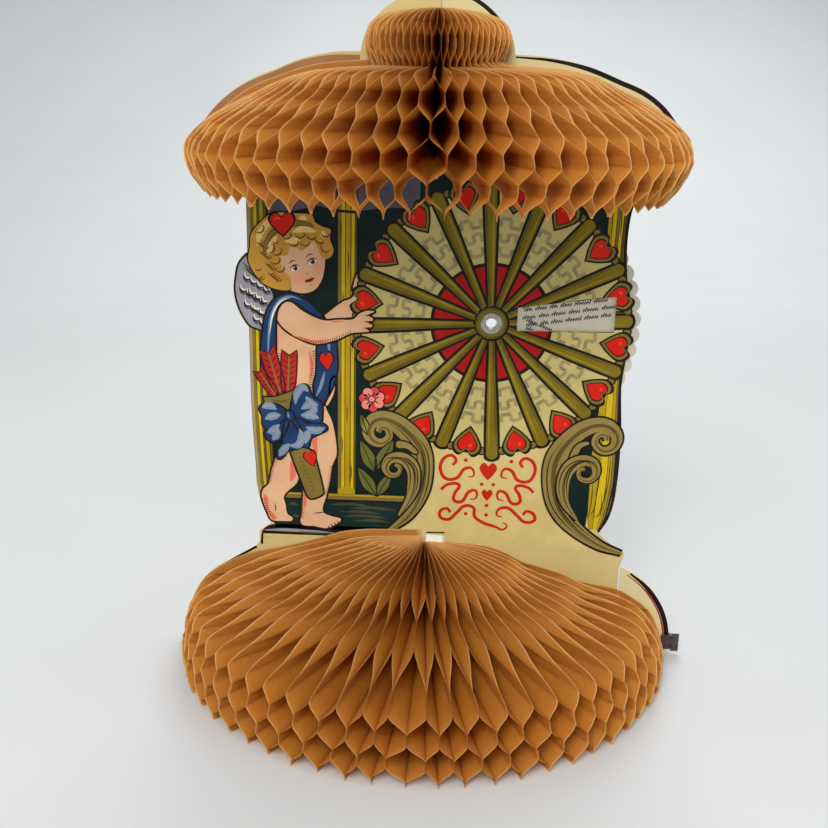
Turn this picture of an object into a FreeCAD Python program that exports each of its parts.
"""Stand-up honeycomb paper novelty: a printed board with a turning verse wheel, and two fans of
tissue leaves, a canopy with a knob above and a cushion-shaped base below.

Millimetres. The origin is on the board's standing edge, at the foot of the line that both fans
fold about. +X is to the right of someone facing the printed side, -Y is towards them, +Z is up.
Outlines are drawn in sheet heights: the standing edge is FOOT_Z above the sheet's lower margin, and
every piece is moved down by that much when it is saved.
"""

import FreeCAD
import Part
import math
import os

# Board and leaf stock
BOARD_T = 0.8  # printed board
LEAF_T = 0.15  # one modelled leaf, which stands for the glued leaves beside it
DISC_T = 0.6
TAPE_T = 0.15

# The line that both fans fold about, just in front of the board
FOLD_Y = -0.55
LEAF_STEPS = 8  # equal steps from the board's leaf to the flap's leaf
LEAF_INNER_R = 7.0  # a leaf starts here; the bound edges are the binding
BINDING_R = 1.05
SPLIT_CARD_X = 0.6  # the main card ends here where a flap takes over
SPLIT_FLAP_X = 1.2  # and the flap starts here
SPLIT_GAP_Z = 0.6

# Heights of the main stages
FOOT_Z = 15.6
BASE_FLAP_TOP = 31.4
BASE_TOP = 53.0
PANEL_TOP = 163.3
CANOPY_RIM_Z = 160.2
CANOPY_HOLLOW_Z = 168.2  # the tissue's underside, inside its pointed rim
NECK_Z = 195.4
KNOB_TOP = 214.0

# Half widths
BASE_BOARD_R = 79.6
BASE_BOARD_LEFT = 76.0
BASE_LEAF_R = 76.4
CANOPY_BOARD_R = 70.8
CANOPY_LEAF_R = 70.2
KNOB_LEAF_R = 20.2
KNOB_BOARD_R = 20.8
NECK_LEAF_R = 18.4

# Wheel: the hub on the printed scene, and the disc that turns behind it
HUB_X = 18.0
HUB_Z = 122.4
DISC_R = 44.0
SCALLOPS = 56
SCALLOP_DEPTH = 1.3
DISC_GAP = 0.1
EYELET_BORE_R = 1.65
EYELET_BARREL_R = 2.1
EYELET_FLANGE_R = 3.3
EYELET_FLANGE_T = 0.45
CARD_HOLE_CLEARANCE = 0.02
RUNNING_CLEARANCE = 0.06
WASHER_T = 0.3
WASHER_R = 5.0

# Verse window: inner end, outer end, each as (x, low z, high z)
WINDOW_INNER = (25.6, 120.4, 127.4)
WINDOW_OUTER = (54.2, 121.0, 131.5)

# Slot and the paper tab through it
SLOT_X = (0.2, 6.2)
SLOT_Z = (51.4, 54.2)
TAB_FOOT_Z = 42.0

# Spring clip on the base flap's outer edge
CLIP_Z = (17.0, 21.8)
CLIP_SHEET = 0.5
CLIP_LEG = 2.9
CLIP_TONGUE = 2.3
CLIP_GAP = 0.05
CLIP_EDGE_GAP = 0.2
FLAP_EDGE_AT_CLIP = 79.65

BACK = BOARD_T / 2
FRONT = -BOARD_T / 2
DISC_FRONT = BACK + DISC_GAP
DISC_BACK = DISC_FRONT + DISC_T

os.makedirs("parts", exist_ok=True)
Vector = FreeCAD.Vector


def face(outline):
    """A flat face in the XZ plane. Each step is a point to run straight to, or a pair of points:
    one to bend through and one to end at."""
    points = [step if not isinstance(step[0], tuple) else step[1] for step in outline]
    edges = []
    for index, step in enumerate(outline):
        start = Vector(points[index - 1][0], 0, points[index - 1][1])
        end = Vector(points[index][0], 0, points[index][1])
        if isinstance(step[0], tuple):
            middle = Vector(step[0][0], 0, step[0][1])
            edges.append(Part.Arc(start, middle, end).toShape())
        elif (end - start).Length > 1e-6:
            edges.append(Part.LineSegment(start, end).toShape())
    return Part.Face(Part.Wire(edges))


def sheet(outline, y_low, y_high):
    """A flat sheet with that outline, between two planes square to Y."""
    blank = face(outline)
    blank.translate(Vector(0, y_low, 0))
    return blank.extrude(Vector(0, y_high - y_low, 0))


def block(x, y, z):
    """A box from its low and high corner along each axis."""
    size = [high - low for low, high in (x, y, z)]
    return Part.makeBox(*size, Vector(x[0], y[0], z[0]))


def tube_on_hub(radius, y_low, y_high):
    """A round bar along Y through the wheel's hub."""
    return Part.makeCylinder(radius, y_high - y_low, Vector(HUB_X, y_low, HUB_Z), Vector(0, 1, 0))


def main_card():
    """The printed board: left halves of knob, canopy and base, the scene panel and its apron."""
    base_left = [
        (-74.8, FOOT_Z),
        (-BASE_BOARD_LEFT, 18.0),
        ((-74.0, 30.5), (-62.6, 42.3)),
        (-53.7, 47.8),
        (-52.5, 49.3),
        (-52.4, 53.2),
        (-48.6, 55.9),
    ]
    panel_left = [
        ((-51.9, 63.0), (-53.2, 74.0)),
        (-54.3, 119.0),
        ((-58.2, 126.5), (-58.2, 134.6)),
        ((-57.2, 138.4), (-54.3, 141.7)),
        (-54.3, 157.0),
    ]
    canopy_left = [
        (-62.0, CANOPY_RIM_Z + 1.0),
        ((-68.8, 165.4), (-69.6, 172.0)),
        ((-63.0, 181.8), (-45.5, 192.6)),
        ((-36.0, 196.3), (-21.4, 198.0)),
        (-KNOB_BOARD_R, 201.0),
        ((-14.6, 209.6), (0.0, KNOB_TOP)),
        (SPLIT_CARD_X, KNOB_TOP),
    ]
    panel_right = [
        (SPLIT_CARD_X, PANEL_TOP),
        (60.4, PANEL_TOP),
        ((56.5, 156.4), (56.0, 147.0)),
        (56.8, 136.6),
        ((59.3, 124.0), (58.0, 109.6)),
        (57.7, 104.0),
        (58.8, 89.0),
        (58.8, 73.0),
        ((57.6, 63.0), (54.4, 56.4)),
        ((58.4, 52.9), (62.8, 50.2)),
        (62.8, 48.6),
        (61.7, 45.0),
        (61.7, BASE_FLAP_TOP + SPLIT_GAP_Z),
        (SPLIT_CARD_X, BASE_FLAP_TOP + SPLIT_GAP_Z),
        (SPLIT_CARD_X, FOOT_Z),
    ]
    card = sheet(base_left + panel_left + canopy_left + panel_right, FRONT, BACK)
    window = [
        (WINDOW_INNER[0], WINDOW_INNER[1]),
        (WINDOW_OUTER[0], WINDOW_OUTER[1]),
        (WINDOW_OUTER[0], WINDOW_OUTER[2]),
        (WINDOW_INNER[0], WINDOW_INNER[2]),
    ]
    card = card.cut(sheet(window, FRONT - 1, BACK + 1))
    card = card.cut(tube_on_hub(EYELET_BARREL_R + CARD_HOLE_CLEARANCE, FRONT - 1, BACK + 1))
    return card.cut(block(SLOT_X, (FRONT - 1, BACK + 1), SLOT_Z))


def base_flap():
    """The right half of the base's board, with a corner that rises beside the apron."""
    outline = [
        (78.8, FOOT_Z),
        (BASE_BOARD_R, 17.5),
        ((76.6, 31.4), (65.8, 43.4)),
        (62.3, 45.2),
        (62.3, BASE_FLAP_TOP),
        (SPLIT_FLAP_X, BASE_FLAP_TOP),
        (SPLIT_FLAP_X, FOOT_Z),
    ]
    return sheet(outline, FRONT, BACK)


def canopy_flap():
    """The right half of the canopy's and knob's board."""
    outline = [
        (63.0, PANEL_TOP + SPLIT_GAP_Z),
        ((69.4, 167.0), (CANOPY_BOARD_R, 173.0)),
        ((65.4, 182.9), (51.1, 191.8)),
        ((40.4, 195.6), (21.4, 198.0)),
        (KNOB_BOARD_R, 201.0),
        ((14.6, 209.6), (SPLIT_FLAP_X, KNOB_TOP)),
        (SPLIT_FLAP_X, PANEL_TOP + SPLIT_GAP_Z),
    ]
    return sheet(outline, FRONT, BACK)


def base_leaf_outline():
    """Half profile of the base's tissue, from the bound edge outwards."""
    return [
        (75.6, FOOT_Z),
        (BASE_LEAF_R, 19.0),
        ((75.2, 28.5), (68.0, 39.4)),
        ((52.0, 48.4), (30.0, BASE_TOP)),
        (LEAF_INNER_R, BASE_TOP),
        (LEAF_INNER_R, FOOT_Z),
    ]


def canopy_leaf_outline():
    """Half profile of the canopy's and knob's tissue, from the bound edge outwards."""
    return [
        (64.2, CANOPY_RIM_Z),
        (68.0, 166.0),
        ((CANOPY_LEAF_R, 172.0), (66.2, 179.0)),
        ((50.0, 188.2), (NECK_LEAF_R, NECK_Z)),
        ((KNOB_LEAF_R, 200.4), (18.6, 206.2)),
        (LEAF_INNER_R, 209.4),
        (LEAF_INNER_R, CANOPY_HOLLOW_Z),
        (52.0, CANOPY_HOLLOW_Z),
        (59.5, CANOPY_RIM_Z + 4.4),
    ]


def leaf(outline, step):
    """One leaf of a fan. Step 0 lies on the main card, the last one lies on the flap."""
    blade = sheet(outline, FOLD_Y - LEAF_T / 2, FOLD_Y + LEAF_T / 2)
    turn = 180.0 - 180.0 * step / LEAF_STEPS
    blade.rotate(Vector(0, FOLD_Y, 0), Vector(0, 0, 1), -turn)
    return blade


def binding(z_low, z_high):
    """The bead of glued inner edges that holds a fan together, half round in front of the board."""
    bead = Part.makeCylinder(BINDING_R, z_high - z_low, Vector(0, FOLD_Y, z_low))
    behind = block((-2, 2), (FRONT, BACK + 2), (z_low - 1, z_high + 1))
    return bead.cut(behind)


def hinge_tape(x, z):
    """One side of the paper tape glued over the fold, behind the board."""
    return block(x, (BACK, BACK + TAPE_T), z)


def wheel_disc():
    """The verse disc, with a scalloped edge and a running hole for the eyelet."""
    valley = DISC_R - SCALLOP_DEPTH
    pitch = 2 * math.pi / SCALLOPS

    def rim(radius, angle):
        return (HUB_X + radius * math.cos(angle), HUB_Z + radius * math.sin(angle))

    outline = [
        (rim(DISC_R, (tooth - 0.5) * pitch), rim(valley, tooth * pitch)) for tooth in range(SCALLOPS)
    ]
    disc = sheet(outline, DISC_FRONT, DISC_BACK)
    hole = tube_on_hub(EYELET_BARREL_R + RUNNING_CLEARANCE, DISC_FRONT - 1, DISC_BACK + 1)
    return disc.cut(hole)


def flange(y_face, y_outer):
    """A rounded eyelet flange that lies on y_face and bulges out to y_outer."""
    low = min(y_face, y_outer)
    plate = tube_on_hub(EYELET_FLANGE_R, low, low + EYELET_FLANGE_T)
    outer_edge = [
        edge
        for edge in plate.Edges
        if abs(edge.BoundBox.YMin - y_outer) < 1e-6 and abs(edge.BoundBox.YMax - y_outer) < 1e-6
    ]
    return plate.makeFillet(EYELET_FLANGE_T * 0.8, outer_edge)


def eyelet():
    """Hollow metal eyelet: front flange, barrel, and the rolled flange behind the washer."""
    washer_back = DISC_BACK + RUNNING_CLEARANCE + WASHER_T
    front = FRONT - EYELET_FLANGE_T
    rear = washer_back + EYELET_FLANGE_T
    body = tube_on_hub(EYELET_BARREL_R, front, rear)
    body = body.fuse([flange(FRONT, front), flange(washer_back, rear)])
    return body.cut(tube_on_hub(EYELET_BORE_R, front - 1, rear + 1)).removeSplitter()


def eyelet_washer():
    """Thin washer between the disc and the rolled flange."""
    low = DISC_BACK + RUNNING_CLEARANCE
    ring = tube_on_hub(WASHER_R, low, low + WASHER_T)
    return ring.cut(tube_on_hub(EYELET_BARREL_R, low - 1, low + WASHER_T + 1))


def slot_tab():
    """White paper tab: it comes forward through the slot, and its foot is glued behind the board."""
    x = (SLOT_X[0] + 0.3, SLOT_X[1] - 0.7)
    tongue = block(x, (FRONT - 0.7, BACK + 0.3), (SLOT_Z[0] + 0.1, SLOT_Z[1] - 0.7))
    foot = block(x, (BACK, BACK + 0.3), (TAB_FOOT_Z, SLOT_Z[1] - 0.7))
    return tongue.fuse(foot).removeSplitter()


def base_clip():
    """Bent metal clip over the base flap's outer edge, with a tongue that stands out."""
    edge = FLAP_EDGE_AT_CLIP + CLIP_EDGE_GAP
    inner = BACK + CLIP_GAP
    outer = inner + CLIP_SHEET
    jaw = block((edge - CLIP_LEG, edge + CLIP_SHEET), (-outer, outer), CLIP_Z)
    jaw = jaw.cut(block((edge - CLIP_LEG - 1, edge), (-inner, inner), (CLIP_Z[0] - 1, CLIP_Z[1] + 1)))
    tongue_x = (edge + CLIP_SHEET, edge + CLIP_SHEET + CLIP_TONGUE)
    tongue = block(tongue_x, (-outer, -outer + CLIP_SHEET), (CLIP_Z[0] - 0.6, CLIP_Z[1] + 0.6))
    return jaw.fuse(tongue).removeSplitter()


def save(name, shape):
    """Writes one node, set down on its standing edge, if it is a single sound solid."""
    if len(shape.Solids) != 1 or not shape.isValid():
        raise ValueError(f"{name} is not one valid solid")
    solid = shape.Solids[0]
    solid.translate(Vector(0, 0, -FOOT_Z))
    solid.exportStep(f"parts/{name}.step")


def build():
    save("main_card", main_card())
    save("base_flap", base_flap())
    save("canopy_flap", canopy_flap())
    for step in range(LEAF_STEPS + 1):
        save(f"base_leaf_{step}", leaf(base_leaf_outline(), step))
        save(f"canopy_leaf_{step}", leaf(canopy_leaf_outline(), step))
    save("base_binding", binding(FOOT_Z, SLOT_Z[0] - 0.2))
    save("canopy_binding", binding(CANOPY_HOLLOW_Z, 209.4))
    card_side = (-7.0, SPLIT_CARD_X)
    flap_side = (SPLIT_FLAP_X, 8.0)
    base_tape_z = (FOOT_Z + 3.0, BASE_FLAP_TOP - 2.4)
    canopy_tape_z = (168.0, 207.0)
    save("base_tape_card_side", hinge_tape(card_side, base_tape_z))
    save("base_tape_flap_side", hinge_tape(flap_side, base_tape_z))
    save("canopy_tape_card_side", hinge_tape(card_side, canopy_tape_z))
    save("canopy_tape_flap_side", hinge_tape(flap_side, canopy_tape_z))
    save("wheel_disc", wheel_disc())
    save("eyelet", eyelet())
    save("eyelet_washer", eyelet_washer())
    save("slot_tab", slot_tab())
    save("base_clip", base_clip())


build()
